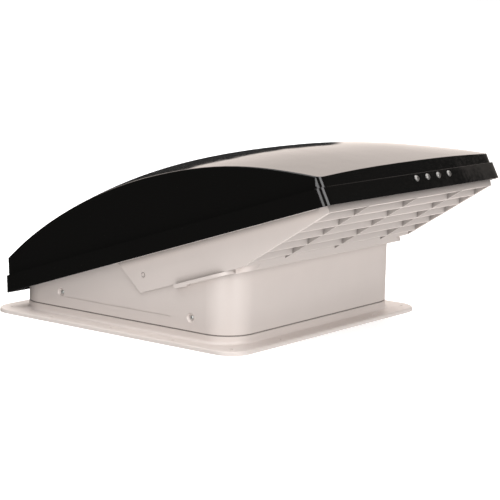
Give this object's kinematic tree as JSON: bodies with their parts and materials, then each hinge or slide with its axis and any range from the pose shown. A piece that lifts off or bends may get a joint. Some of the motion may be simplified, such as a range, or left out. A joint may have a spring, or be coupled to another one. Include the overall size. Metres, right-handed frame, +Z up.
{
  "type": "roof exhaust fan",
  "caption": "Square roof-mounted exhaust fan with a flange, housing, axial rotor and a tilting rain hood with a louvred outlet, raised and lowered by a hand crank.",
  "frame": {"origin": "centre of the square roof flange, on its underside, which rests on the roof", "axes": "+Z up, out of the roof; the louvred outlet and the fascia face -Y; the hood hinges along X near the +Y wall"},
  "size_m": [0.419, 0.5432, 0.2419],
  "materials": {
    "white_shell": "moulded satin",
    "black_lid": "high gloss",
    "grey_plastic": "moulded matt",
    "fan_plastic": "moulded matt",
    "zinc_steel": "zinc plated",
    "bright_screw": "polished",
    "motor_steel": "satin black",
    "mesh_wire": "coated wire",
    "seal_foam": "matt",
    "key_plastic": "satin",
    "lens": "clear",
    "circuit": "satin",
    "gear_plastic": "natural acetal"
  },
  "bodies": {
    "base": {"roof_flange": "white_shell", "gap_seal": "seal_foam", "base_housing": "white_shell", "body_screws": "zinc_steel", "fan_deck": "grey_plastic", "fan_throat": "grey_plastic", "deck_screws": "zinc_steel", "motor_bracket": "zinc_steel", "motor_can": "motor_steel", "motor_cap": "zinc_steel", "motor_screws": "zinc_steel", "screen_frame": "white_shell", "screen_mesh": "mesh_wire", "control_panel": "white_shell", "indicator_lenses": "lens", "circuit_board": "circuit", "lift_bracket": "zinc_steel", "shaft_bearing": "zinc_steel", "hinge_bracket_left": "zinc_steel", "hinge_bracket_right": "zinc_steel", "hinge_pins": "zinc_steel"},
    "rotor": {"rotor_shaft": "zinc_steel", "fan_rotor": "fan_plastic", "rotor_nut": "zinc_steel"},
    "lift": {"lift_shaft": "zinc_steel", "lift_arm_left": "zinc_steel", "lift_arm_right": "zinc_steel", "worm_wheel": "gear_plastic"},
    "crank": {"worm": "gear_plastic", "crank_shaft": "zinc_steel", "crank_knob": "key_plastic"},
    "hood": {"hinge_arm_left": "grey_plastic", "hinge_arm_right": "grey_plastic", "lift_hanger_left": "zinc_steel", "lift_hanger_right": "zinc_steel", "lid_upper": "black_lid", "lid_skirt": "black_lid", "fascia_screws": "bright_screw", "hood_side_left": "white_shell", "hood_side_right": "white_shell", "hood_rivets": "white_shell", "hood_rim": "white_shell", "outlet_grille": "white_shell"},
    "knob_1": {"screen_knob_1": "key_plastic"},
    "knob_2": {"screen_knob_2": "key_plastic"},
    "knob_3": {"screen_knob_3": "key_plastic"},
    "knob_4": {"screen_knob_4": "key_plastic"},
    "key_1": {"button_1": "key_plastic"},
    "key_2": {"button_2": "key_plastic"},
    "key_3": {"button_3": "key_plastic"},
    "key_4": {"button_4": "key_plastic"},
    "key_5": {"button_5": "key_plastic"}
  },
  "joints": [
    {"name": "hood_hinge", "type": "hinge", "parent": "base", "child": "hood", "pos_m": [0, 0.1, 0.052], "axis": [1, 0, 0], "range_deg": [0, 17]},
    {"name": "rotor_spin", "type": "hinge", "parent": "base", "child": "rotor", "pos_m": [0, 0, 0.058], "axis": [0, 0, 1], "continuous": true},
    {"name": "lift_turn", "type": "hinge", "parent": "base", "child": "lift", "pos_m": [0, -0.158, 0.097], "axis": [1, 0, 0], "range_deg": [-28.8, 0.5]},
    {"name": "crank_turn", "type": "hinge", "parent": "base", "child": "crank", "pos_m": [0.14, -0.135, 0.05], "axis": [0, 0, 1], "range_deg": [-10, 689]},
    {"name": "screen_knob_turn_1", "type": "hinge", "parent": "base", "child": "knob_1", "pos_m": [-0.15, -0.16, 0.02], "axis": [0, 0, 1], "range_deg": [0, 90]},
    {"name": "screen_knob_turn_2", "type": "hinge", "parent": "base", "child": "knob_2", "pos_m": [0.108, -0.16, 0.02], "axis": [0, 0, 1], "range_deg": [0, 90]},
    {"name": "screen_knob_turn_3", "type": "hinge", "parent": "base", "child": "knob_3", "pos_m": [-0.15, 0.16, 0.02], "axis": [0, 0, 1], "range_deg": [0, 90]},
    {"name": "screen_knob_turn_4", "type": "hinge", "parent": "base", "child": "knob_4", "pos_m": [0.108, 0.16, 0.02], "axis": [0, 0, 1], "range_deg": [0, 90]},
    {"name": "button_press_1", "type": "slide", "parent": "base", "child": "key_1", "axis": [0, 0, 1], "range_m": [0, 0.001], "stiffness_N_per_m": 400, "springref_m": -0.0005},
    {"name": "button_press_2", "type": "slide", "parent": "base", "child": "key_2", "axis": [0, 0, 1], "range_m": [0, 0.001], "stiffness_N_per_m": 400, "springref_m": -0.0005},
    {"name": "button_press_3", "type": "slide", "parent": "base", "child": "key_3", "axis": [0, 0, 1], "range_m": [0, 0.001], "stiffness_N_per_m": 400, "springref_m": -0.0005},
    {"name": "button_press_4", "type": "slide", "parent": "base", "child": "key_4", "axis": [0, 0, 1], "range_m": [0, 0.001], "stiffness_N_per_m": 400, "springref_m": -0.0005},
    {"name": "button_press_5", "type": "slide", "parent": "base", "child": "key_5", "axis": [0, 0, 1], "range_m": [0, 0.001], "stiffness_N_per_m": 400, "springref_m": -0.0005}
  ],
  "couplings": [
    {"joint": "lift_turn", "follows": "hood_hinge", "ratio": -1.663},
    {"joint": "crank_turn", "follows": "hood_hinge", "ratio": 39.912}
  ]
}
